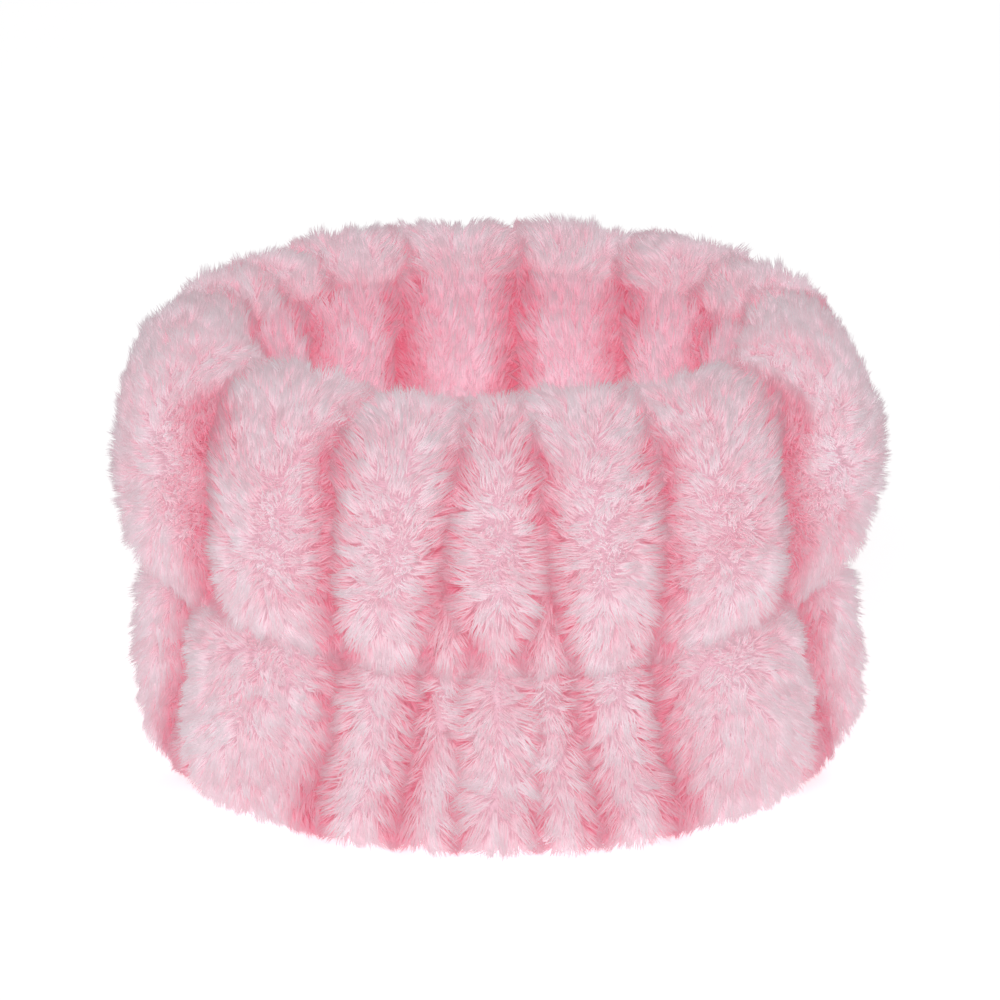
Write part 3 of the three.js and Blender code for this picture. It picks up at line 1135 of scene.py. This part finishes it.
@dataclass
class FleeceStrip:
    """One gathered strip of coral fleece: its cloth as a closed sheet, and the pile on it."""

    wall: Wall
    name: str = ""
    cad_node: str = ""
    slot: str = ""
    ground: KnitFinish | None = None
    finish: PileFinish | None = None
    pile_stand: float = 3.8
    waist_depth: float = 0.15
    waist_reach: float = 9.0
    foot_depth: float = 0.6
    cloth_thickness: float = 0.9
    columns: int = 400
    rows: int = 96
    strands_per_mm2: float = 9.9
    lock_spacing: float = 1.35
    strand_length: float = 4.6
    strand_radius: float = 0.13
    upright: float = 0.6
    gather: float = 0.5
    stray: float = 0.15
    sectors: int = 8
    seed: int = 3
    seam_inset: float = 8.0
    seam_allowance: float = 4.0
    joints: tuple[Pair, Pair] = ((-6.2, 57.4), (-6.2, 7.6))
    coarse_lumps: Pair = (13.0, 1.1)
    fine_lumps: Pair = (6.0, 0.5)
    fine_lump_seed: int = 9
    calm_seam: float = 6.0
    calm_foot: Pair = (2.0, 9.0)
    pressed_height: float = 12.0
    unshaded_from: Pair = (0.8, 4.2)
    grooming: Grooming = Grooming()
    pieces: list[bpy.types.Object] = field(default_factory=list)

    def profile(self) -> np.ndarray:
        """Gives the outline of the pile's tips, from the rim's seam to the foot's.

        Returns:
            Bulges and heights, in millimetres.
        """
        raise NotImplementedError

    def depth_share(self, height: np.ndarray) -> np.ndarray:
        """Gives how deep the cloth lies under the tips, less at the waist and on the floor.

        Args:
            height: Heights on the profile.

        Returns:
            The depths as shares of the pile's stand.
        """
        beside = np.abs(height - self.wall.waist) / self.waist_reach
        at_waist = rising(beside, self.waist_depth, 0.0, 1.0)
        return at_waist * rising(height, self.foot_depth, 0.0, self.pressed_height)

    def draw(self, azimuth: np.ndarray, bulge: float, height: float) -> tuple:
        """Gives the crease's pull, the place across the puff and the angle from the crease.

        Args:
            azimuth: Azimuths in degrees.
            bulge: The row's bulge.
            height: The row's height.

        Returns:
            The three values at each azimuth.
        """
        raise NotImplementedError

    def comb(self, grid: Grid, east: np.ndarray, up: np.ndarray) -> np.ndarray:
        """Gives the direction that the pile is combed in, with how far it lies over.

        Args:
            grid: The scalp.
            east: The direction round the ring.
            up: The direction up the cloth.

        Returns:
            A vector for each point.
        """
        raise NotImplementedError

    def scalp_profile(self) -> tuple[np.ndarray, np.ndarray]:
        """Sets the profile in by the pile's stand and turns its ends in to the seams.

        Returns:
            The rows' bulges and heights on the cloth, and their distance from the nearer seam.
        """
        outline = self.profile()
        run = np.concatenate([[0], np.cumsum(np.linalg.norm(np.diff(outline, axis=0), axis=1))])
        at = np.linspace(0, run[-1], self.rows)
        rows = np.stack([np.interp(at, run, outline[:, i]) for i in (0, 1)], axis=1)
        along = unit(np.gradient(rows, axis=0))
        inwards = np.stack([along[:, 1], -along[:, 0]], axis=1)
        rows = rows + inwards * (self.pile_stand * self.depth_share(rows[:, 1]))[:, None]
        for joint, gap in zip(self.joints, (at, run[-1] - at)):
            pull = (1 - smooth(gap, 0, self.seam_allowance))[:, None]
            rows = rows + (np.array(joint) - rows) * pull
        return rows, np.minimum(at, run[-1] - at)

    def grid(self) -> Grid:
        """Builds the cloth's pile side: the profile drawn in by the creases all round.

        Returns:
            The grid of points and what is known of each.
        """
        rows, from_seam = self.scalp_profile()
        azimuth = np.linspace(-180, 180, self.columns, endpoint=False)
        placed, across, from_crease = [], [], []
        for bulge, height in rows:
            pull, side, aside = self.draw(azimuth, bulge, height)
            level = np.ones_like(azimuth)
            new_bulge, new_height = self.wall.drawn_in(bulge * level, height * level, pull)
            placed.append(self.wall.place(azimuth, new_bulge, new_height))
            across.append(side)
            from_crease.append(np.radians(aside) * (self.wall.core_radius + bulge))
        points = np.array(placed)
        shape = points.shape[:2]
        grid = Grid(
            points=points,
            azimuth=np.broadcast_to(azimuth, shape),
            height=points[..., 2] / MM,
            across=np.array(across),
            from_crease=np.array(from_crease),
            from_seam=np.broadcast_to(from_seam[:, None], shape),
        )
        return self.roughened(grid)

    def roughened(self, grid: Grid) -> Grid:
        """Adds the small lumps of hand-gathered cloth, none at the seams or the foot.

        Args:
            grid: The smooth scalp.

        Returns:
            The scalp with its points moved.
        """
        calm = smooth(grid.from_seam, 0, self.calm_seam) * smooth(grid.height, *self.calm_foot)
        size, rise = self.coarse_lumps
        lumps = wander(grid.points, size, self.seed)[..., :1] * rise
        size, rise = self.fine_lumps
        lumps = lumps + wander(grid.points, size, self.seed + self.fine_lump_seed)[..., :1] * rise
        moved = grid.points + grid.normals() * lumps * calm[..., None] * MM
        return replace(grid, points=moved)

    def build(self, pile: bpy.types.NodeTree, strand: bpy.types.Object) -> None:
        """Args:
            pile: The pile's geometry nodes.
            strand: The strand that they copy.
        """
        grid = self.grid()
        cloth = self.cloth(grid)
        self.pieces = self.pile(grid, pile, strand)
        for piece in (cloth, *self.pieces):
            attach(piece, BODY)
        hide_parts(self.cad_node)

    def cloth(self, grid: Grid) -> bpy.types.Object:
        """Makes the cloth a closed sheet with a pile side, a back and two cut edges.

        Args:
            grid: The scalp.

        Returns:
            The sheet, dressed in its knitted ground.
        """
        back = grid.points - grid.normals() * self.cloth_thickness * MM
        shell = np.concatenate([grid.points[::2, ::2], back[-2::-2, ::2]], axis=0)
        faces = ring_faces(*shell.shape[:2], closed=True)
        piece = mesh_object(f"{self.name}_cloth", shell.reshape(-1, 3), faces)
        # The ground's painted crease shade gives way to its light colour on the puffs.
        on_puff = smooth(grid.from_crease, *self.unshaded_from)
        unshaded = np.concatenate([on_puff[::2, ::2], on_puff[-2::-2, ::2]], axis=0)
        attribute = piece.data.attributes.new(UNSHADED, "FLOAT", "POINT")
        attribute.data.foreach_set("value", unshaded.astype(np.float32).ravel())
        piece.data.materials.append(self.ground.material())
        LOG.info("%s: %d faces", piece.name, len(piece.data.polygons))
        return piece

    def groom(self, grid: Grid) -> dict[Groomed, np.ndarray]:
        """Works out how the pile stands, from the directions round and up the cloth.

        Args:
            grid: The scalp.

        Returns:
            The values by name, as rows of the grid.
        """
        normal = grid.normals()
        angle = np.radians(grid.azimuth)
        east = np.stack([np.cos(angle), np.sin(angle), np.zeros_like(angle)], axis=-1)
        east = unit(east - normal * (east * normal).sum(-1, keepdims=True))
        up = np.array([0.0, 0.0, 1.0]) - normal * normal[..., 2:]
        return self.grooming.groom(grid, self.comb(grid, east, up), self.wall.waist, self.seed)

    def pile(
        self, grid: Grid, tree: bpy.types.NodeTree, strand: bpy.types.Object
    ) -> list[bpy.types.Object]:
        """Grows the pile sector by sector, so that each piece stays light.

        Args:
            grid: The scalp.
            tree: The pile's geometry nodes.
            strand: The strand that they copy.

        Returns:
            The pieces, as plain meshes.
        """
        groomed = self.groom(grid)
        finish = self.finish.material()
        step = self.columns // self.sectors
        pieces = []
        for sector in range(self.sectors):
            columns = np.arange(sector * step, (sector + 1) * step + 1) % self.columns
            scalp = self.scalp(grid.points[:, columns], {k: v[:, columns] for k, v in groomed.items()})
            values = {
                PileInput.STRAND: strand,
                PileInput.FINISH: finish,
                PileInput.STRANDS: self.strands_per_mm2 / MM**2,
                PileInput.LOCKS: 1 / (self.lock_spacing * MM) ** 2,
                PileInput.LENGTH: self.strand_length * MM,
                PileInput.RADIUS: self.strand_radius * MM,
                PileInput.UPRIGHT: self.upright,
                PileInput.GATHER: self.gather,
                PileInput.STRAY: self.stray,
                PileInput.SEED: self.seed * 100 + sector,
            }
            piece = grown(scalp, tree, values, f"{self.name}_pile_{sector + 1:02d}")
            LOG.info("%s: %d faces", piece.name, len(piece.data.polygons))
            pieces.append(piece)
        return pieces

    @staticmethod
    def scalp(points: np.ndarray, groomed: Mapping[Groomed, np.ndarray]) -> bpy.types.Object:
        """Makes a piece of the scalp that carries its grooming as attributes.

        Args:
            points: The piece's points, in rows.
            groomed: Their grooming.

        Returns:
            The piece of scalp.
        """
        count, across = points.shape[:2]
        faces = ring_faces(count, across, closed=False)
        piece = mesh_object("scalp", points.reshape(-1, 3), faces)
        for name, values in groomed.items():
            vector = values.ndim == 3
            kind = "FLOAT_VECTOR" if vector else "FLOAT"
            attribute = piece.data.attributes.new(name.value, kind, "POINT")
            data = np.ascontiguousarray(values, np.float32).ravel()
            attribute.data.foreach_set("vector" if vector else "value", data)
        return piece


def ring_faces(rows: int, columns: int, closed: bool) -> list[tuple[int, int, int, int]]:
    """Joins a grid of points into four-sided faces.

    Args:
        rows: How many rows the grid has.
        columns: How many points a row has.
        closed: Whether the last row and column join on to the first ones.

    Returns:
        The faces as indices, in the order that points outwards.
    """
    row_steps = rows if closed else rows - 1
    column_steps = columns if closed else columns - 1
    faces = []
    for i in range(row_steps):
        below = (i + 1) % rows
        for j in range(column_steps):
            beside = (j + 1) % columns
            corners = (i, j), (below, j), (below, beside), (i, beside)
            faces.append(tuple(row * columns + column for row, column in corners))
    return faces


def mesh_object(name: str, points: np.ndarray, faces: list) -> bpy.types.Object:
    """Makes a smooth mesh object in the scene, at the origin.

    Args:
        name: The object's name.
        points: Its points, in metres.
        faces: Its faces, as indices of points.

    Returns:
        The object.
    """
    mesh = bpy.data.meshes.new(name)
    mesh.from_pydata(points.tolist(), [], faces)
    mesh.shade_smooth()
    piece = bpy.data.objects.new(name, mesh)
    bpy.context.scene.collection.objects.link(piece)
    return piece


def grown(
    scalp: bpy.types.Object,
    tree: bpy.types.NodeTree,
    values: Mapping[PileInput, object],
    name: str,
) -> bpy.types.Object:
    """Runs the pile's nodes on a scalp and keeps the result as a plain mesh.

    Args:
        scalp: The piece of cloth, which is used up.
        tree: The pile's geometry nodes.
        values: What their inputs are set to.
        name: The new piece's name.

    Returns:
        The pile of that piece of cloth.
    """
    modifier = scalp.modifiers.new("pile", "NODES")
    modifier.node_group = tree
    sockets = {item.name: item.identifier for item in tree.interface.items_tree}
    for entry, value in values.items():
        modifier[sockets[entry.value[0]]] = value
    evaluated = scalp.evaluated_get(bpy.context.evaluated_depsgraph_get())
    mesh = bpy.data.meshes.new_from_object(evaluated)
    bpy.data.objects.remove(scalp)
    kept = {"position", "sharp_face", "material_index", STRAND_MAP, BAKE_MAP}
    spare = [a.name for a in mesh.attributes if not (a.name in kept or a.is_internal or a.is_required)]
    for attribute in spare:
        mesh.attributes.remove(mesh.attributes[attribute])
    mesh.name = name
    piece = bpy.data.objects.new(name, mesh)
    bpy.context.scene.collection.objects.link(piece)
    return piece


@dataclass
class OuterStrip(FleeceStrip):
    """The strip seen from outside: over the rim, down two tiers of puffs, and under the foot."""

    name: str = "outer"
    cad_node: str = "outer_fleece_panel"
    slot: str = "outer_fleece"
    belly: Pair = (13.9, 45.0)
    lower_belly: Pair = (12.0, 15.2)
    groove_bulge: float = 4.5
    groove_half_width: float = 1.3
    foot_half_width: float = 3.6
    upper: Tier = field(default_factory=lambda: Tier(UPPER_CREASES, 14.8, 11.0))
    lower: Tier = field(default_factory=lambda: Tier(LOWER_CREASES, 10.8, 9.0))
    tier_blend: float = 0.7
    pull_power: float = 1.5
    rim_eases: Change = Change(0.78, 46.0, 61.0)
    waist_pull: tuple[float, float, float] = (0.15, 0.5, 3.5)
    outwards: tuple[Change, ...] = (Change(0.5, 0.0, 0.6), Change(-0.35, 0.75, 1.0))
    base_lifts: Pair = (-0.85, -0.5)
    upper_lifts: tuple[Change, ...] = (Change(0.95, 29.0, 42.0), Change(0.45, 40.0, 54.0))
    lower_lift: Change = Change(0.3, 10.0, 27.0)

    def profile(self) -> np.ndarray:
        """Gives the outline of the pile's tips, from the rim's seam to the foot's.

        Returns:
            Bulges and heights, in millimetres.
        """
        rim_seam = (-self.seam_inset, self.wall.height - self.wall.rim_roll_drop)
        rim = (0.0, self.wall.height)
        groove_top = (self.groove_bulge, self.wall.waist + self.groove_half_width)
        groove_base = (self.groove_bulge, self.wall.waist - self.groove_half_width)
        foot_outside = (self.foot_half_width, 0.0)
        foot_inside = (-self.foot_half_width, 0.0)
        foot_seam = (-self.seam_inset, self.wall.foot_seam_rise)
        return np.concatenate(
            [
                quarter_ellipse(rim_seam, rim, False),
                quarter_ellipse(rim, self.belly, True),
                quarter_ellipse(self.belly, groove_top, False),
                quarter_ellipse(groove_base, self.lower_belly, True),
                quarter_ellipse(self.lower_belly, foot_outside, False),
                quarter_ellipse(foot_inside, foot_seam, True),
                [foot_seam],
            ]
        )

    def draw(self, azimuth: np.ndarray, bulge: float, height: float) -> tuple:
        """Gives the crease's pull, the place across the puff and the angle from the crease.

        Args:
            azimuth: Azimuths in degrees.
            bulge: The row's bulge.
            height: The row's height.

        Returns:
            The three values at each azimuth.
        """
        waist = self.wall.waist
        upper_share = (height - waist) / (self.wall.height - waist)
        above = smooth(height, waist - self.tier_blend, waist + self.tier_blend)
        tiers = ((self.upper, upper_share, above), (self.lower, height / waist, 1 - above))
        pull = side = aside = 0.0
        for tier, share, weight in tiers:
            fullness, across, angle = tier.puffs(azimuth, share)
            reach = (bulge + self.seam_inset) / (tier.full_bulge - self.pile_stand + self.seam_inset)
            reach = min(max(reach, 0.0), 1.0) ** self.pull_power
            pull = pull + weight * tier.depth * reach * (1 - fullness)
            side = side + weight * across
            aside = aside + weight * angle
        stands = smooth(height, self.pile_stand, self.lower_belly[1])
        level = (1 - self.rim_eases.at(height)) * rising(abs(height - waist), *self.waist_pull)
        return pull * stands * level, side, aside

    def comb(self, grid: Grid, east: np.ndarray, up: np.ndarray) -> np.ndarray:
        """Combs out from each puff's ridge, up above the bellies and down below them.

        Args:
            grid: The scalp.
            east: The direction round the ring.
            up: The direction up the cloth.

        Returns:
            A vector for each point.
        """
        offset = np.abs(grid.across)
        outwards = sum(change.at(offset) for change in self.outwards)
        upper_base, lower_base = self.base_lifts
        upper_lift = sum((change.at(grid.height) for change in self.upper_lifts), upper_base)
        lower_lift = lower_base + self.lower_lift.at(grid.height)
        above = smooth(grid.height, self.wall.waist - 1, self.wall.waist + 1)
        lift = lower_lift * (1 - above) + upper_lift * above
        return east * (outwards * np.sign(grid.across))[..., None] + up * lift[..., None]


@dataclass
class SkinStrip(FleeceStrip):
    """The strip that lines the opening, its pile combed straight up."""

    name: str = "skin_side"
    cad_node: str = "skin_side_fleece_panel"
    slot: str = "skin_side_fleece"
    columns: int = 240
    rows: int = 64
    sectors: int = 4
    seed: int = 7
    strands_per_mm2: float = 6.6
    joints: tuple[Pair, Pair] = ((-6.2, 7.6), (-6.2, 57.4))
    bulge: float = -14.5
    waist_bulge: float = -10.5
    belly_height: float = 45.0
    lower_belly_height: float = 15.7
    groove_half_width: float = 1.3
    ends: Pair = (57.0, 5.0)
    tier: Tier = field(default_factory=lambda: Tier(SKIN_CREASES, 14.5, 8.0))
    outwards: Change = Change(0.4, 0.1, 0.8)
    lift: float = 0.85

    def profile(self) -> np.ndarray:
        """Gives the outline of the pile's tips, from the foot's seam up to the rim's.

        Returns:
            Bulges and heights, in millimetres.
        """
        rim_end = (-self.seam_inset, self.ends[0])
        foot_end = (-self.seam_inset, self.ends[1])
        belly = (self.bulge, self.belly_height)
        lower_belly = (self.bulge, self.lower_belly_height)
        waist_top = (self.waist_bulge, self.wall.waist + self.groove_half_width)
        waist_base = (self.waist_bulge, self.wall.waist - self.groove_half_width)
        return np.concatenate(
            [
                quarter_ellipse(foot_end, lower_belly, True),
                quarter_ellipse(lower_belly, waist_base, False),
                quarter_ellipse(waist_top, belly, True),
                quarter_ellipse(belly, rim_end, False),
                [rim_end],
            ]
        )

    def draw(self, azimuth: np.ndarray, bulge: float, height: float) -> tuple:
        """Gives the crease's pull, the place across the puff and the angle from the crease.

        Args:
            azimuth: Azimuths in degrees.
            bulge: The row's bulge.
            height: The row's height.

        Returns:
            The three values at each azimuth.
        """
        fullness, across, aside = self.tier.puffs(azimuth, 0.0)
        inset = -self.bulge - self.pile_stand - self.seam_inset
        reach = min(max((-bulge - self.seam_inset) / inset, 0.0), 1.0)
        return self.tier.depth * reach * (1 - fullness), across, aside

    def comb(self, grid: Grid, east: np.ndarray, up: np.ndarray) -> np.ndarray:
        """Combs straight up the wall, and a little out from each puff's ridge."""
        outwards = np.sign(grid.across) * self.outwards.at(np.abs(grid.across))
        return east * outwards[..., None] + up * self.lift


# ---- The hidden sewn parts ----


@dataclass
class SewnParts:
    """The elastic tapes and the threads, whose CAD shapes stay and get their own finishes."""

    elastic: ElasticFinish
    thread: ThreadFinish
    places: tuple[str, ...] = ("rim", "waist", "foot")
    threads: tuple[str, ...] = (
        "rim_seam_thread",
        "foot_seam_thread",
        "gathering_needle_thread",
        "gathering_bobbin_thread",
        "outer_closing_seam_thread",
        "skin_closing_seam_thread",
    )

    def dress(self) -> None:
        """Gives the tapes woven elastic, and the threads and bartacks twisted thread."""
        woven = self.elastic.material()
        twisted = self.thread.material()
        for place in self.places:
            self.paint(f"{place}_elastic_tape", woven)
            self.paint(f"{place}_elastic_bartack", twisted)
        for name in self.threads:
            self.paint(name, twisted)

    @staticmethod
    def paint(name: str, material: bpy.types.Material) -> None:
        """Puts a material in every slot of a CAD node.

        Args:
            name: The node.
            material: The material.
        """
        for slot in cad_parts[name].material_slots:
            slot.material = material
        LOG.info("%s: %s", name, material.name)


# ---- Studio ----


@dataclass(frozen=True)
class Lamp:
    """A square soft light: its name, its place, its width and its power."""

    name: str
    place: Place
    size: float
    power: float

    def hang(self, aim: Vector) -> None:
        """Hangs the light so that it faces the aim.

        Args:
            aim: The place that it faces.
        """
        data = bpy.data.lights.new(self.name, "AREA")
        data.size = self.size
        data.energy = self.power
        lamp = bpy.data.objects.new(self.name, data)
        lamp.location = self.place
        facing = aim - Vector(self.place)
        lamp.rotation_euler = facing.to_track_quat("-Z", "Y").to_euler()
        bpy.context.scene.collection.objects.link(lamp)


@dataclass
class Studio:
    """A pale sheet, soft light from all round, and a camera that looks a little down."""

    distance: float = 0.65
    elevation: float = 20.0
    aim: Place = (0.0004, 0.0, 0.0357)
    lens: float = 162.0
    paper: PaperFinish = PaperFinish("paper", (0.95, 0.95, 0.95, 1.0))
    paper_size: float = 6.0
    lamps: tuple[Lamp, ...] = (
        Lamp("key", (-0.1, -1.0, 0.7), 0.6, 3.7),
        Lamp("fill", (0.2, 0.7, 1.0), 0.9, 2.0),
    )
    sky: float = 0.27
    seen_sky: float = 0.6
    bounces: int = 8

    def build(self) -> None:
        """Sets up the camera, the sheet, the lights and how the picture is shown."""
        self.place_camera()
        self.lay_paper()
        for lamp in self.lamps:
            lamp.hang(Vector(self.aim))
        self.light_sky()
        bpy.context.scene.view_settings.view_transform = "Standard"
        bpy.context.scene.cycles.diffuse_bounces = self.bounces

    def place_camera(self) -> None:
        """Places the camera in front, looking at the aim."""
        tilt = math.radians(self.elevation)
        aim = Vector(self.aim)
        data = bpy.data.cameras.new("camera")
        data.lens = self.lens
        data.clip_start = 0.01
        camera = bpy.data.objects.new("camera", data)
        camera.location = aim + Vector((0, -math.cos(tilt), math.sin(tilt))) * self.distance
        camera.rotation_euler = (math.pi / 2 - tilt, 0, 0)
        bpy.context.scene.collection.objects.link(camera)
        bpy.context.scene.camera = camera

    def lay_paper(self) -> None:
        """Lays the sheet on the floor."""
        half = self.paper_size / 2
        corners = np.array([(-half, -half, 0), (half, -half, 0), (half, half, 0), (-half, half, 0)])
        sheet = mesh_object("paper", corners, [(0, 1, 2, 3)])
        sheet.data.materials.append(self.paper.material())

    def light_sky(self) -> None:
        """Surrounds the scene with even white light."""
        world = bpy.data.worlds.new("sky")
        world.use_nodes = True
        bpy.context.scene.world = world
        tree = Tree(world.node_tree)
        seen = tree.signal("ShaderNodeLightPath", {}, {}, "Is Camera Ray")
        strength = self.sky + seen * self.seen_sky
        inputs = {"Color": (1.0, 1.0, 1.0, 1.0), "Strength": strength}
        glow = tree.signal("ShaderNodeBackground", {}, inputs)
        tree.node("ShaderNodeOutputWorld", {}, {"Surface": glow})


# ---- The band ----

# The ground's first colour is painted shade, deep pink in the creases.
GROUND = KnitFinish("fleece_ground", (0.72, 0.20, 0.29, 1.0), (0.77, 0.58, 0.65, 1.0))
# The crease shade is painted shade, the deep pink that light takes on among the fibres in the creases.
# All three are darker at the root: painted shade deep in the pile.
CREASE_SHADE = DyeAndShade((0.67, 0.15, 0.24, 1.0), (0.70, 0.23, 0.32, 1.0), (0.72, 0.31, 0.39, 1.0))
PUFF_DYE = DyeAndShade((0.77, 0.62, 0.67, 1.0), (0.77, 0.66, 0.705, 1.0), (0.78, 0.68, 0.725, 1.0))
LINING_DYE = DyeAndShade((0.79, 0.55, 0.62, 1.0), (0.80, 0.60, 0.67, 1.0), (0.80, 0.64, 0.70, 1.0))
OUTER_PILE = PileFinish("outer_pile", CREASE_SHADE, PUFF_DYE)
SKIN_PILE = PileFinish("skin_side_pile", CREASE_SHADE, LINING_DYE)
# The elastic's second colour is painted shade in the valleys between its ribs.
ELASTIC = ElasticFinish("woven_elastic", (0.90, 0.88, 0.87, 1.0), (0.70, 0.66, 0.65, 1.0))
THREAD = ThreadFinish("sewing_thread", (0.86, 0.46, 0.55, 1.0), (0.76, 0.34, 0.43, 1.0))


def main() -> None:
    """Builds the studio, the strips and the sewn parts, in that order."""
    logging.basicConfig(level=logging.INFO, format="%(message)s")
    # Without a seed the noise module starts from the clock, and no two runs agree.
    noise.seed_set(NOISE_SEED)
    Studio().build()
    wall = Wall().measure()
    pile = PileTree().build()
    strand = Strand().build()
    OuterStrip(wall, ground=GROUND, finish=OUTER_PILE).build(pile, strand)
    SkinStrip(wall, ground=GROUND, finish=SKIN_PILE).build(pile, strand)
    SewnParts(ELASTIC, THREAD).dress()
    bpy.data.objects.remove(strand)


if __name__ == "__main__":
    main()
